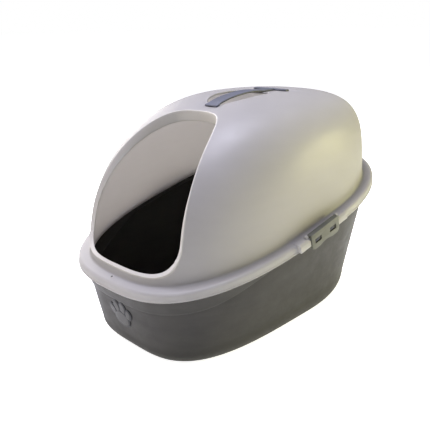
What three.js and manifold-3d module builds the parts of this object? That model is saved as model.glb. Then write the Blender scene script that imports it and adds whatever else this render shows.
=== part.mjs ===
// Hooded cat litter box: a deep tray, a lift-off dome hood with a wide entrance, a grip on top of the hood,
// a hinged clip on each long side, and a paw badge on the front of the tray.
// Millimetres. +Z up, the entrance faces -Y, +X is the right-hand side seen from behind the entrance.
import * as THREE from "three";
import { mergeVertices } from "three/addons/utils/BufferGeometryUtils.js";
import Module from "manifold-3d";

// ---------------------------------------------------------------- driving dimensions
const LENGTH = 560; // front edge to rear edge of the hood's skirt
const WIDTH = 400; // across the hood's skirt
const HEIGHT = 391; // floor to the top of the dome
const FRONT_LENGTH = 326; // from the widest station forward to the front edge
const FRONT_ROUND = 2.86; // how square the front half of the plan is (2 is an ellipse)
const REAR_ROUND = 2.28; // how square the rear half is

const RIM_HEIGHT = 188; // lower edge of the skirt above the floor, at mid length
const RIM_SLOPE = 0.218; // the rim rises towards the rear by this much per millimetre

const WALL = 2.6; // sheet thickness of the hood and the tray
const GAP = 0.3; // between pieces that touch

// hood
const SKIRT_HEIGHT = 13;
const SKIRT_ROUND = 4.5; // rounding between the skirt and the ledge
const LEDGE = 18; // from the skirt's face in to the dome's foot
const FOOT_FILLET = 3.5; // rounding between the ledge and the dome
const APRON = 7; // how far the dome's wall runs on down inside the tray
const DOME_APEX_Y = 61.5;
const DOME_FRONT = 2.1; // how square the dome's profile is towards the front,
const DOME_SIDE = 4.16; // the sides
const DOME_REAR = 4.47; // and the rear
const DOME_DRAFT = 0.034; // lean of the dome's wall

// entrance
const ENTRY_HALF_WIDTH = 113;
const ENTRY_WIDEST = 205; // height of the widest place
const ENTRY_TOP = 371;
const ENTRY_BOTTOM = 157;
const LIP_TOP = 18; // how far the lip hangs down from the top edge,
const LIP_SIDE = 7; // reaches in at the sides
const LIP_BOTTOM = 3; // and stands up from the bottom edge
const LIP_SET_BACK = 4;
const LIP_ROOT = 3; // overlap of the lip with the shell round it

// tray
const TRAY_TOP_INSET = 11.6; // tray wall behind the skirt's face, at the rim
const TRAY_SIDE_INSET = 47.9; // and where the wall meets the floor rounding, at the sides,
const TRAY_FRONT_INSET = 33.5; // the front
const TRAY_REAR_INSET = 38.7; // and the rear
const TRAY_FRONT_ROUND = 3.59; // squareness of the floor's plan
const TRAY_REAR_ROUND = 2.41;
const FLOOR_ROUND = 42; // rounding between the wall and the floor, at mid length
const FLARE_INSET = 4.6; // outer face of the flared rim
const FLARE_STEP = 1.6; // step where the flare springs from the wall
const FLARE_DEEP = 31; // depth of the flare at the front
const FLARE_SHALLOW = 7; // and along the sides
const FLARE_FROM_Y = -215; // the flare grows shallow between these two stations
const FLARE_TO_Y = -60;

// grip on the hood
const GRIP_FRONT_Y = -58;
const GRIP_REAR_Y = 108;
const GRIP_HALF_WIDTH = 13;
const GRIP_THICK = 3.2;
const GRIP_RISE = 2; // how far the grip bows up over the hand hole
const GRIP_BAR_HALF = 40; // cross bar at the rear
const GRIP_BAR_LENGTH = 11;
const GRIP_TOE_HALF = 14.5; // cross toe at the front
const GRIP_TOE_LENGTH = 9;
const PEG_R = 3;
const PEG_LENGTH = 7;
const PEG_SPREAD = 28; // the two rear pegs, each side of the centre line
const HOLE_HALF_WIDTH = 42; // hand hole under the grip
const HOLE_FRONT_Y = -47;
const HOLE_REAR_Y = 66;

// side clips
const CLIP_HALF = 36.5; // half the clip's length along the rim
const CLIP_Y = -3; // station of its middle
const CLIP_STAND_OFF = 1; // clip's inner face outside the skirt's widest face
const CLIP_THICK = 3;
const CLIP_DROP = 9; // below the skirt's lower edge
const CLIP_CORNER = 8;
const CLIP_SCALLOP = 2.5; // finger scallop in the lower edge
const CLIP_SCALLOP_HALF = 17;
const HINGE_INSET = 4; // hinge axis in from the skirt's widest face
const HINGE_UP = 2.6; // and above the ledge
const HINGE_R = 2.2;
const PIN_R = 1.2;
const PIN_LENGTH = 3;
const LUG_LENGTH = 4; // hinge lugs on the ledge
const WINDOW_HALF = 8.25; // the two windows in each clip
const WINDOW_SPREAD = 19.7; // either side of the clip's middle
const WINDOW_LOW = 0.2;
const WINDOW_HIGH = 7.8;
const CATCH_LENGTH = 10; // catches on the tray's rim, seen in the windows
const CATCH_HEIGHT = 4.6;
const BLOCK_LENGTH = 25; // raised blocks on the skirt beside each clip
const BLOCK_PROUD = 3;
const BLOCK_ROOT = 9; // how far the block's top runs in over the ledge

// badge
const BADGE_DROP = 24.5; // badge's middle below the place where the flare springs
const BADGE_THICK = 1.2;
const BADGE_PAD = 15; // half width of the main pad

const GATE_R = 1.5; // moulding gate mark on the front ledge
const GATE_DEPTH = 1;

const AROUND = 60; // facets round the plan
const DOME_RINGS = 11;
const ENTRY_FACETS = 48;
const FINEST = 0.05; // edges shorter than this are closed up

// ---------------------------------------------------------------- values that follow
const FRONT_Y = -LENGTH / 2;
const WIDEST_Y = FRONT_Y + FRONT_LENGTH;
const REAR_LENGTH = LENGTH - FRONT_LENGTH;
const LEDGE_TOP = SKIRT_HEIGHT; // heights below are counted from the skirt's lower edge
const LEDGE_UNDER = SKIRT_HEIGHT - WALL;
const APRON_END = LEDGE_UNDER - APRON;
const RIM_TOP = LEDGE_UNDER - GAP;
const TILT = Math.atan(RIM_SLOPE);

const rimZ = (y) => RIM_HEIGHT + RIM_SLOPE * y;
const mix = (a, b, t) => a + (b - a) * t;
const clamp01 = (t) => Math.min(1, Math.max(0, t));
const smooth = (t) => clamp01(t) ** 2 * (3 - 2 * clamp01(t));
const signedPow = (v, p) => Math.sign(v) * Math.abs(v) ** p;

// A rounded outline about the widest station, at the parameter t; a size is {side, front, rear, nf, nr}.
function outlinePoint(t, size) {
  const front = Math.sin(t) < 0;
  const n = front ? size.nf : size.nr;
  const reach = front ? size.front : size.rear;
  return [size.side * signedPow(Math.cos(t), 2 / n), WIDEST_Y + reach * signedPow(Math.sin(t), 2 / n)];
}

// The plan of the hood's skirt, drawn in by the same amount all round.
const planSize = (inset) => ({
  side: WIDTH / 2 - inset,
  front: FRONT_LENGTH - inset,
  rear: REAR_LENGTH - inset,
  nf: FRONT_ROUND,
  nr: REAR_ROUND,
});

// Parameters that space the facets evenly round the plan, the same on the left and the right.
function evenParameters(count) {
  const fine = 4000;
  const size = planSize(0);
  const lengths = [0];
  let last = outlinePoint(-Math.PI / 2, size);
  for (let i = 1; i <= fine; i++) {
    const p = outlinePoint(-Math.PI / 2 + (Math.PI * i) / fine, size);
    lengths.push(lengths[i - 1] + Math.hypot(p[0] - last[0], p[1] - last[1]));
    last = p;
  }
  const half = count / 2;
  const right = [];
  let i = 0;
  for (let k = 0; k <= half; k++) {
    while (i < fine && lengths[i] < (lengths[fine] * k) / half) i++;
    right.push(-Math.PI / 2 + (Math.PI * i) / fine);
  }
  const left = right.slice(1, half).map((t) => Math.PI - t);
  return [...right, ...left.reverse()];
}
const PARAMETERS = evenParameters(AROUND);

// ---------------------------------------------------------------- meshes and booleans
const wasm = await Module();
wasm.setup();

function solidFrom(positions, index) {
  const geometry = new THREE.BufferGeometry();
  geometry.setAttribute("position", new THREE.BufferAttribute(new Float32Array(positions.flat()), 3));
  geometry.setIndex(index);
  const merged = mergeVertices(geometry, 1e-4);
  const mesh = new wasm.Mesh({
    numProp: 3,
    vertProperties: merged.attributes.position.array,
    triVerts: new Uint32Array(merged.index.array),
  });
  return new wasm.Manifold(mesh);
}

// Skin over rings of points; a ring of one point closes an end. `loop` joins the last ring to the first.
function loft(rings, loop = false, caps = []) {
  const positions = [];
  const starts = [];
  for (const ring of rings) {
    starts.push(positions.length);
    positions.push(...ring);
  }
  const index = [];
  const steps = loop ? rings.length : rings.length - 1;
  for (let i = 0; i < steps; i++) {
    const low = rings[i];
    const high = rings[(i + 1) % rings.length];
    const a = starts[i];
    const b = starts[(i + 1) % rings.length];
    const count = Math.max(low.length, high.length);
    for (let j = 0; j < count; j++) {
      const k = (j + 1) % count;
      if (low.length === 1) index.push(a, b + k, b + j);
      else if (high.length === 1) index.push(a + j, a + k, b);
      else index.push(a + j, a + k, b + k, a + j, b + k, b + j);
    }
  }
  const last = starts[rings.length - 1];
  for (const [i, j, k] of caps) index.push(k, j, i, last + i, last + j, last + k);
  return solidFrom(positions, index);
}

// Triangles that fill a flat outline, each turning the way the outline turns.
function capOf(outline) {
  const points = outline.map(([u, v]) => new THREE.Vector2(u, v));
  const turn = (corners) => Math.sign(THREE.ShapeUtils.area(corners));
  const filled = THREE.ShapeUtils.triangulateShape(points, []);
  return filled.map((t) => (turn(t.map((i) => points[i])) === turn(points) ? t : [...t].reverse()));
}

// A straight bar on a closed outline of [u, v] pairs, counter-clockwise; place(u, v, w) puts it in space.
function bar(outline, from, to, place) {
  const ring = (w) => outline.map(([u, v]) => place(u, v, w));
  return loft([ring(from), ring(to)], false, capOf(outline));
}

const circle = (r, cu = 0, cv = 0, count = 24) =>
  Array.from({ length: count }, (_, i) => {
    const t = (2 * Math.PI * (i + 0.5)) / count;
    return [cu + r * Math.cos(t), cv + r * Math.sin(t)];
  });
// A closed outline, given by its point at each turn t, as points an even distance apart, none on the centre line.
function evenOutline(pointAt, count) {
  const fine = 4000;
  const points = Array.from({ length: fine + 1 }, (_, i) => pointAt(Math.PI / 2 + (2 * Math.PI * i) / fine));
  const along = [0];
  for (let i = 1; i <= fine; i++) {
    along.push(along[i - 1] + Math.hypot(points[i][0] - points[i - 1][0], points[i][1] - points[i - 1][1]));
  }
  return Array.from({ length: count }, (_, k) => {
    const target = (along[fine] * (k + 0.5)) / count;
    return points[along.findIndex((s) => s >= target)];
  });
}
const rectangle = (u0, u1, v0, v1) => [
  [u0, v0],
  [u1, v0],
  [u1, v1],
  [u0, v1],
];
const upright = (u, v, w) => [u, v, w]; // outline in plan, bar along Z
const alongY = (u, v, w) => [u, -w, v]; // outline seen from the front, bar from front (w > 0) to rear

// ---------------------------------------------------------------- the dome
function squareness(dx, dy) {
  const c = dy / Math.hypot(dx, dy);
  const rear = Math.max(c, 0) ** 2;
  const front = Math.max(-c, 0) ** 2;
  return DOME_SIDE + (DOME_REAR - DOME_SIDE) * rear + (DOME_FRONT - DOME_SIDE) * front;
}

// A point on the dome's profile above the foot point (x, y): turn runs from 0 at the foot to 1 at the apex.
function domePoint(x, y, turn, top) {
  const angle = (turn * Math.PI) / 2;
  const n = squareness(x, y - DOME_APEX_Y);
  const r = (Math.cos(angle) ** n + Math.sin(angle) ** n) ** (-1 / n);
  const rise = r * Math.sin(angle);
  const reach = r * Math.cos(angle) * (1 - DOME_DRAFT * rise);
  const foot = rimZ(y) + LEDGE_TOP;
  return [x * reach, mix(DOME_APEX_Y, y, reach), foot + (top - foot) * rise];
}

// Height of the dome's outer skin over (x, y).
function domeHeight(x, y) {
  const size = planSize(LEDGE);
  const dx = x;
  const dy = y - DOME_APEX_Y;
  let near = 0;
  let far = 4 * LENGTH;
  for (let i = 0; i < 60; i++) {
    const k = (near + far) / 2;
    const py = DOME_APEX_Y + (dy / Math.hypot(dx, dy)) * k - WIDEST_Y;
    const px = (dx / Math.hypot(dx, dy)) * k;
    const n = py < 0 ? size.nf : size.nr;
    const inside = Math.abs(px / size.side) ** n + Math.abs(py / (py < 0 ? size.front : size.rear)) ** n < 1;
    if (inside) near = k;
    else far = k;
  }
  const n = squareness(dx, dy);
  const foot = rimZ(DOME_APEX_Y + (dy / Math.hypot(dx, dy)) * near) + LEDGE_TOP;
  let rise = 0.5;
  for (let i = 0; i < 12; i++) {
    const reach = Math.min(1, Math.hypot(dx, dy) / near / (1 - DOME_DRAFT * rise));
    rise = (1 - reach ** n) ** (1 / n);
  }
  return foot + (HEIGHT - foot) * rise;
}

// How far forward the dome's outer skin is at (x, z).
function domeFrontY(x, z) {
  let front = FRONT_Y + LEDGE;
  let back = DOME_APEX_Y - 5;
  for (let i = 0; i < 40; i++) {
    const y = (front + back) / 2;
    if (domeHeight(x, y) < z) front = y;
    else back = y;
  }
  return (front + back) / 2;
}

// Thickness of the dome's sheet measured straight back from (x, z).
function sheetDepth(x, z) {
  const acrossX = (domeFrontY(x + 1, z) - domeFrontY(x - 1, z)) / 2;
  const acrossZ = (domeFrontY(x, z + 1) - domeFrontY(x, z - 1)) / 2;
  return WALL * Math.hypot(1, acrossX, acrossZ);
}

function planRing(inset, above) {
  return PARAMETERS.map((t) => {
    const [x, y] = outlinePoint(t, planSize(inset));
    return [x, y, rimZ(y) + above];
  });
}
function domeRing(inset, turn, top) {
  return PARAMETERS.map((t) => {
    const [x, y] = outlinePoint(t, planSize(inset));
    return domePoint(x, y, turn, top);
  });
}

function hoodShell() {
  const rings = [];
  rings.push([[0, DOME_APEX_Y, HEIGHT - WALL]]);
  for (let i = DOME_RINGS - 1; i >= 1; i--) rings.push(domeRing(LEDGE + WALL, i / DOME_RINGS, HEIGHT - WALL));
  rings.push(planRing(LEDGE + WALL, APRON_END));
  rings.push(planRing(LEDGE, APRON_END));
  rings.push(planRing(LEDGE, LEDGE_UNDER));
  rings.push(planRing(WALL, LEDGE_UNDER));
  rings.push(planRing(WALL, 0));
  rings.push(planRing(0, 0));
  for (const a of [0, 30, 60, 90]) {
    const r = (a * Math.PI) / 180;
    const inset = SKIRT_ROUND * (1 - Math.cos(r));
    rings.push(planRing(inset, LEDGE_TOP - SKIRT_ROUND * (1 - Math.sin(r))));
  }
  for (const a of [0, 30, 60]) {
    const r = (a * Math.PI) / 180;
    const inset = LEDGE - FOOT_FILLET * (1 - Math.sin(r));
    rings.push(planRing(inset, LEDGE_TOP + FOOT_FILLET * (1 - Math.cos(r))));
  }
  for (let i = 1; i < DOME_RINGS; i++) rings.push(domeRing(LEDGE, i / DOME_RINGS, HEIGHT));
  rings.push([[0, DOME_APEX_Y, HEIGHT]]);
  return loft(rings);
}

// The entrance, seen from the front: [x, z], counter-clockwise.
function entryOutline(count) {
  return evenOutline((t) => {
    const up = Math.sin(t) > 0;
    const reach = up ? ENTRY_TOP - ENTRY_WIDEST : ENTRY_WIDEST - ENTRY_BOTTOM;
    const across = up ? 2 / 4.4 : 2 / 6.5;
    const along = up ? 2 / 1.3 : 2 / 2.2;
    return [
      ENTRY_HALF_WIDTH * signedPow(Math.cos(t), across),
      ENTRY_WIDEST + reach * signedPow(Math.sin(t), along),
    ];
  }, count);
}

// A point drawn in from the entrance's edge by the given amounts (out of it when they are negative).
function drawnIn([x, z], sides, top, bottom) {
  const up = z > ENTRY_WIDEST;
  const share = up ? top / (ENTRY_TOP - ENTRY_WIDEST) : bottom / (ENTRY_WIDEST - ENTRY_BOTTOM);
  return [x * (1 - sides / ENTRY_HALF_WIDTH), mix(z, ENTRY_WIDEST, share)];
}
function entryLip() {
  const rings = entryOutline(ENTRY_FACETS).map((p) => {
    const [x, z] = drawnIn(p, -LIP_ROOT, -LIP_ROOT, -LIP_ROOT);
    const [inX, inZ] = drawnIn(p, LIP_SIDE, LIP_TOP, LIP_BOTTOM);
    const root = [x, domeFrontY(x, z) + sheetDepth(x, z) / 2, z];
    const brow = [p[0], domeFrontY(...p) + sheetDepth(...p) / 2, p[1]];
    const edge = [inX, brow[1] + LIP_SET_BACK, inZ];
    const back = ([px, py, pz], depth) => [px, py + depth, pz];
    return [back(root, sheetDepth(x, z)), back(edge, WALL), edge, brow, root];
  });
  return loft(rings, true);
}

// ---------------------------------------------------------------- grip
function holeOutline(count) {
  const middle = (HOLE_FRONT_Y + HOLE_REAR_Y) / 2;
  const half = (HOLE_REAR_Y - HOLE_FRONT_Y) / 2;
  return evenOutline((t) => {
    const n = Math.sin(t) < 0 ? 2 : 4;
    return [HOLE_HALF_WIDTH * signedPow(Math.cos(t), 2 / n), middle + half * signedPow(Math.sin(t), 2 / n)];
  }, count);
}
const PEGS = [
  [0, GRIP_FRONT_Y + GRIP_TOE_LENGTH / 2],
  [-PEG_SPREAD, GRIP_REAR_Y - GRIP_BAR_LENGTH / 2],
  [PEG_SPREAD, GRIP_REAR_Y - GRIP_BAR_LENGTH / 2],
];

// Underside of the grip: on the hood at its ends, bowed up over the hand hole.
function gripUnder(x, y) {
  const t = clamp01((y - HOLE_FRONT_Y) / (HOLE_REAR_Y - HOLE_FRONT_Y));
  return domeHeight(x, y) + GAP + GRIP_RISE * Math.sin(Math.PI * t) ** 2;
}
function gripPiece(halfWidth, y0, y1, steps) {
  const rings = [];
  for (let i = 0; i <= steps; i++) {
    const y = mix(y0, y1, i / steps);
    const low = [-halfWidth, 0.001, halfWidth].map((x) => [x, y, gripUnder(x, y)]);
    const high = [-halfWidth, halfWidth].map((x) => [x, y, gripUnder(x, y) + GRIP_THICK]);
    rings.push([low[0], high[0], high[1], low[2], low[1]]);
  }
  const cap = (ring) => [[0, ring[0][1], (ring[0][2] + ring[1][2]) / 2]];
  return loft([cap(rings[0]), ...rings, cap(rings[steps])]);
}
function grip() {
  let solid = gripPiece(GRIP_HALF_WIDTH, GRIP_FRONT_Y, GRIP_REAR_Y, 24);
  solid = solid.add(gripPiece(GRIP_BAR_HALF, GRIP_REAR_Y - GRIP_BAR_LENGTH, GRIP_REAR_Y, 3));
  solid = solid.add(gripPiece(GRIP_TOE_HALF, GRIP_FRONT_Y, GRIP_FRONT_Y + GRIP_TOE_LENGTH, 3));
  for (const [x, y] of PEGS) {
    const top = domeHeight(x + 0.001, y) + 2;
    solid = solid.add(bar(circle(PEG_R, x, y, 16), top - PEG_LENGTH, top, upright));
  }
  return solid;
}

// ---------------------------------------------------------------- rim coordinates beside a clip
// u runs along the sloping rim from the clip's middle, v is square to it, out is +1 right or -1 left.
const rimPoint = (out) => (x, v, u) => [
  out * x,
  CLIP_Y + u * Math.cos(TILT) - v * Math.sin(TILT),
  rimZ(CLIP_Y) + u * Math.sin(TILT) + v * Math.cos(TILT),
];
// A bar along the rim on an outline of [x, v]; the left one is turned round so that it still faces out.
function rimBar(outline, from, to, out) {
  const points = out > 0 ? outline.slice().reverse() : outline;
  return bar(points, from, to, rimPoint(out));
}
// A bar through the clip, square to its face, on an outline of [u, v].
function faceBar(outline, from, to, out) {
  const place = (u, v, x) => rimPoint(out)(x, v, u);
  return bar(out > 0 ? outline : outline.slice().reverse(), from, to, place);
}

const FACE_X = WIDTH / 2; // widest face of the skirt
const HINGE_X = FACE_X - HINGE_INSET;
const HINGE_V = LEDGE_TOP + HINGE_UP;
const CLIP_X0 = FACE_X + CLIP_STAND_OFF;
const CLIP_X1 = CLIP_X0 + CLIP_THICK;
const CLIP_TOP = HINGE_V + HINGE_R;
const WINDOWS = [-WINDOW_SPREAD, WINDOW_SPREAD];

// The clip's face: square top corners, round lower corners, a scallop in the lower edge.
function clipOutline() {
  const points = [
    [CLIP_HALF, CLIP_TOP],
    [-CLIP_HALF, CLIP_TOP],
  ];
  const corner = (cu, from) => {
    for (let i = 0; i <= 5; i++) {
      const t = ((from + 18 * i) * Math.PI) / 180;
      points.push([cu + CLIP_CORNER * Math.cos(t), CLIP_CORNER - CLIP_DROP + CLIP_CORNER * Math.sin(t)]);
    }
  };
  corner(-CLIP_HALF + CLIP_CORNER, 180);
  for (let i = 0; i <= 8; i++) {
    const s = i / 8;
    points.push([mix(-CLIP_SCALLOP_HALF, CLIP_SCALLOP_HALF, s), -CLIP_DROP + CLIP_SCALLOP * Math.sin(Math.PI * s)]);
  }
  corner(CLIP_HALF - CLIP_CORNER, 270);
  return points;
}
function clip(out) {
  let solid = faceBar(clipOutline(), CLIP_X0, CLIP_X1, out);
  solid = solid.add(rimBar(rectangle(HINGE_X, CLIP_X1, HINGE_V - HINGE_R, CLIP_TOP), -CLIP_HALF, CLIP_HALF, out));
  solid = solid.add(rimBar(circle(HINGE_R, HINGE_X, HINGE_V, 16), -CLIP_HALF, CLIP_HALF, out));
  const pin = CLIP_HALF + PIN_LENGTH;
  solid = solid.add(rimBar(circle(PIN_R, HINGE_X, HINGE_V, 12), -pin, pin, out));
  for (const u of WINDOWS) {
    const hole = rectangle(u - WINDOW_HALF, u + WINDOW_HALF, WINDOW_LOW, WINDOW_HIGH);
    solid = solid.subtract(faceBar(hole, CLIP_X0 - 1, CLIP_X1 + 1, out));
  }
  return solid;
}

// ---------------------------------------------------------------- hood
// Half width of the skirt's face at the station y.
function skirtX(y) {
  const size = planSize(0);
  const front = y < WIDEST_Y;
  const n = front ? size.nf : size.nr;
  return size.side * (1 - Math.abs((y - WIDEST_Y) / (front ? size.front : size.rear)) ** n) ** (1 / n);
}
// A raised block on the skirt; its root follows the middle of the skirt's and the ledge's sheet.
function skirtBlock(from, to, out) {
  const steps = 4;
  const bend = SKIRT_ROUND - (SKIRT_ROUND - WALL / 2) * Math.SQRT1_2;
  let outline;
  const rings = [];
  for (let i = 0; i <= steps; i++) {
    const u = mix(from, to, i / steps);
    const face = skirtX(CLIP_Y + u * Math.cos(TILT));
    const section = [
      [face - WALL / 2, -GAP],
      [FACE_X + BLOCK_PROUD, -GAP],
      [FACE_X + BLOCK_PROUD, LEDGE_TOP - SKIRT_ROUND],
      [FACE_X - 0.5 * SKIRT_ROUND, LEDGE_TOP - WALL / 3],
      [face - BLOCK_ROOT, LEDGE_TOP - WALL / 3],
      [face - BLOCK_ROOT, LEDGE_TOP - WALL / 2],
      [face - SKIRT_ROUND, LEDGE_TOP - WALL / 2],
      [face - bend, LEDGE_TOP - bend],
      [face - WALL / 2, LEDGE_TOP - SKIRT_ROUND],
    ];
    outline = out > 0 ? section.reverse() : section;
    rings.push(outline.map(([x, v]) => rimPoint(out)(x, v, u)));
  }
  return loft(rings, false, capOf(outline));
}

function hood() {
  let solid = hoodShell();
  for (const out of [-1, 1]) {
    for (const end of [-1, 1]) {
      const u0 = end * (CLIP_HALF + 2.5 * GAP);
      const u1 = u0 + end * BLOCK_LENGTH;
      solid = solid.add(skirtBlock(Math.min(u0, u1), Math.max(u0, u1), out));
      const lug = [
        [HINGE_X - 3.2, LEDGE_TOP - 1],
        [HINGE_X + 3.2, LEDGE_TOP - 1],
        [HINGE_X + 3.2, HINGE_V + 0.8],
        [HINGE_X + 1.6, HINGE_V + 2.6],
        [HINGE_X - 1.6, HINGE_V + 2.6],
        [HINGE_X - 3.2, HINGE_V + 0.8],
      ];
      const l0 = u0 + end * GAP;
      const l1 = u0 + end * LUG_LENGTH;
      solid = solid.add(rimBar(lug, Math.min(l0, l1), Math.max(l0, l1), out));
    }
    const bore = CLIP_HALF + PIN_LENGTH + 2 * GAP;
    solid = solid.subtract(rimBar(circle(PIN_R + GAP, HINGE_X, HINGE_V, 12), -bore, bore, out));
    // notches in the skirt let the tray's catches through, and are open below so that the hood lifts off
    for (const u of WINDOWS) {
      const notch = rectangle(u - WINDOW_HALF, u + WINDOW_HALF, -4, WINDOW_HIGH);
      solid = solid.subtract(faceBar(notch, FACE_X - WALL - 1.2, FACE_X + 1, out));
    }
  }
  const spare = -LIP_ROOT / 3;
  const entry = entryOutline(ENTRY_FACETS).map((p) => drawnIn(p, spare, spare, spare));
  solid = solid.subtract(bar(entry, 40, LENGTH, alongY));
  solid = solid.add(entryLip());
  solid = solid.subtract(bar(holeOutline(40), ENTRY_TOP - 30, HEIGHT + 5, upright));
  for (const [x, y] of PEGS) {
    solid = solid.subtract(bar(circle(PEG_R + GAP, x, y, 16), HEIGHT - 60, HEIGHT + 5, upright));
  }
  const gateY = FRONT_Y + (LEDGE + SKIRT_ROUND) / 2;
  const gateTop = rimZ(gateY) + LEDGE_TOP;
  solid = solid.subtract(bar(circle(GATE_R, 0, gateY, 12), gateTop - GATE_DEPTH, gateTop + 3, upright));
  return solid;
}

// ---------------------------------------------------------------- tray
const FLOOR_SHARE = FLOOR_ROUND / RIM_HEIGHT;
function traySize(share, inset) {
  const down = clamp01((1 - share) / (1 - FLOOR_SHARE));
  return {
    side: WIDTH / 2 - mix(TRAY_TOP_INSET, TRAY_SIDE_INSET, down) - inset,
    front: FRONT_LENGTH - mix(TRAY_TOP_INSET, TRAY_FRONT_INSET, down) - inset,
    rear: REAR_LENGTH - mix(TRAY_TOP_INSET, TRAY_REAR_INSET, down) - inset,
    nf: mix(FRONT_ROUND, TRAY_FRONT_ROUND, down),
    nr: mix(REAR_ROUND, TRAY_REAR_ROUND, down),
  };
}
// A ring at one share of the wall's height, drawn in by inset.
function wallRing(share, inset, lift = 0) {
  return PARAMETERS.map((t) => {
    const [x, y] = outlinePoint(t, traySize(share, inset));
    return [x, y, rimZ(y) * share + lift];
  });
}
// Rings of the flared rim: climb 0 is where it springs from the wall, 1 is level with the skirt's edge.
const flareDepth = (y) => mix(FLARE_DEEP, FLARE_SHALLOW, smooth((y - FLARE_FROM_Y) / (FLARE_TO_Y - FLARE_FROM_Y)));
function flareRing(climb, inset, step) {
  return PARAMETERS.map((t) => {
    const rough = outlinePoint(t, planSize(TRAY_TOP_INSET));
    const share = 1 - flareDepth(rough[1]) / rimZ(rough[1]);
    const low = outlinePoint(t, traySize(share, inset - step));
    const high = outlinePoint(t, planSize(FLARE_INSET + inset));
    const y = mix(low[1], high[1], climb);
    return [mix(low[0], high[0], climb), y, rimZ(y) - flareDepth(rough[1]) * (1 - climb)];
  });
}
function trayShell() {
  const rings = [];
  const arc = [0, 15, 30, 45, 60, 75].map((a) => (a * Math.PI) / 180);
  const shares = [0.38, 0.55, 0.7];
  rings.push([[0, WIDEST_Y, 0]], wallRing(0, FLOOR_ROUND));
  for (const a of arc.slice().reverse()) {
    const r = FLOOR_ROUND * (1 - Math.sin(Math.PI / 2 - a));
    rings.push(wallRing(FLOOR_SHARE * (1 - Math.cos(Math.PI / 2 - a)), r));
  }
  for (const s of shares) rings.push(wallRing(s, 0));
  rings.push(flareRing(0, 0, 0), flareRing(0, 0, FLARE_STEP), flareRing(1, 0, FLARE_STEP));
  rings.push(planRing(FLARE_INSET, RIM_TOP), planRing(FLARE_INSET + WALL, RIM_TOP));
  rings.push(flareRing(1, WALL, FLARE_STEP), flareRing(0, WALL, FLARE_STEP), flareRing(0, WALL, 0));
  for (const s of shares.slice().reverse()) rings.push(wallRing(s, WALL));
  const inner = FLOOR_ROUND - WALL;
  for (const a of arc) {
    const r = inner * (1 - Math.sin(Math.PI / 2 - a));
    rings.push(wallRing(mix(FLOOR_SHARE, 0, Math.cos(Math.PI / 2 - a)), WALL + r, WALL * Math.sin(a)));
  }
  rings.push(wallRing(0, WALL + inner, WALL));
  rings.push([[0, WIDEST_Y, WALL]]);
  return loft(rings);
}
function tray() {
  let solid = trayShell();
  for (const out of [-1, 1]) {
    for (const u of WINDOWS) {
      // The hood lifts straight up off a sloping rim, so each notch drifts rearward past its catch.
      const front = u - WINDOW_HALF + WINDOW_HIGH * RIM_SLOPE + 2 * GAP;
      const low = WINDOW_HIGH - 2 * GAP - CATCH_HEIGHT;
      const block = rectangle(front, front + CATCH_LENGTH, low, low + CATCH_HEIGHT);
      solid = solid.add(faceBar(block, FACE_X - FLARE_INSET - WALL / 2, CLIP_X1 - 1, out));
    }
  }
  return solid;
}

// ---------------------------------------------------------------- badge: a paw print standing off the front wall
function badge() {
  const wallY = (s) => outlinePoint(-Math.PI / 2, traySize(s, 0))[1];
  const wallZ = (s) => rimZ(wallY(s)) * s;
  const middleZ = rimZ(wallY(1)) - FLARE_DEEP - BADGE_DROP;
  let share = 0.5;
  for (let i = 0; i < 20; i++) share = middleZ / rimZ(wallY(share));
  const lean = Math.atan((wallY(share - 0.1) - wallY(share + 0.1)) / (wallZ(share + 0.1) - wallZ(share - 0.1)));
  const place = (u, v, w) => [
    u,
    wallY(share) - w * Math.cos(lean) - v * Math.sin(lean),
    middleZ + v * Math.cos(lean) - w * Math.sin(lean),
  ];
  const oval = (cu, cv, ru, rv, turn) =>
    Array.from({ length: 20 }, (_, i) => {
      const t = (2 * Math.PI * i) / 20;
      const a = ru * Math.cos(t);
      const b = rv * Math.sin(t);
      return [cu + a * Math.cos(turn) - b * Math.sin(turn), cv + a * Math.sin(turn) + b * Math.cos(turn)];
    });
  const k = BADGE_PAD;
  const blobs = [oval(0, -0.55 * k, 1.2 * k, 0.95 * k, 0)];
  for (const side of [-1, 1]) {
    blobs.push(oval(side * 0.5 * k, 0.85 * k, 0.5 * k, 0.72 * k, -side * 0.12));
    blobs.push(oval(side * 1.25 * k, 0.25 * k, 0.46 * k, 0.66 * k, -side * 0.45));
  }
  return blobs.map((b) => bar(b, 4 * GAP, 4 * GAP + BADGE_THICK, place)).reduce((a, b) => a.add(b));
}

// ---------------------------------------------------------------- nodes
const group = new THREE.Group();
function node(name, solid, colour, roughness) {
  // the one real body, without crumbs or pockets of a cubic millimetre left where sheets meet
  const bodies = solid.simplify(FINEST).decompose();
  const made = bodies.reduce((a, b) => (b.volume() > a.volume() ? b : a)).getMesh();
  const geometry = new THREE.BufferGeometry();
  geometry.setAttribute("position", new THREE.BufferAttribute(new Float32Array(made.vertProperties), 3));
  geometry.setIndex(new THREE.BufferAttribute(new Uint32Array(made.triVerts), 1));
  const material = new THREE.MeshStandardMaterial({ color: colour, roughness, metalness: 0 });
  const mesh = new THREE.Mesh(geometry, material);
  mesh.name = name;
  group.add(mesh);
}
node("tray", tray(), 0x55544f, 0.55);
node("hood", hood(), 0xc4c2be, 0.45);
node("carry_handle", grip(), 0x7c808c, 0.5);
node("clip_left", clip(-1), 0x83837a, 0.5);
node("clip_right", clip(1), 0x83837a, 0.5);
node("paw_badge", badge(), 0x1c1c1c, 0.5);

export default group;
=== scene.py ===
# Looks of the cat litter box with hood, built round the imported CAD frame.

import math

import bmesh
import bpy
import numpy as np
from mathutils import Matrix, Vector


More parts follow.
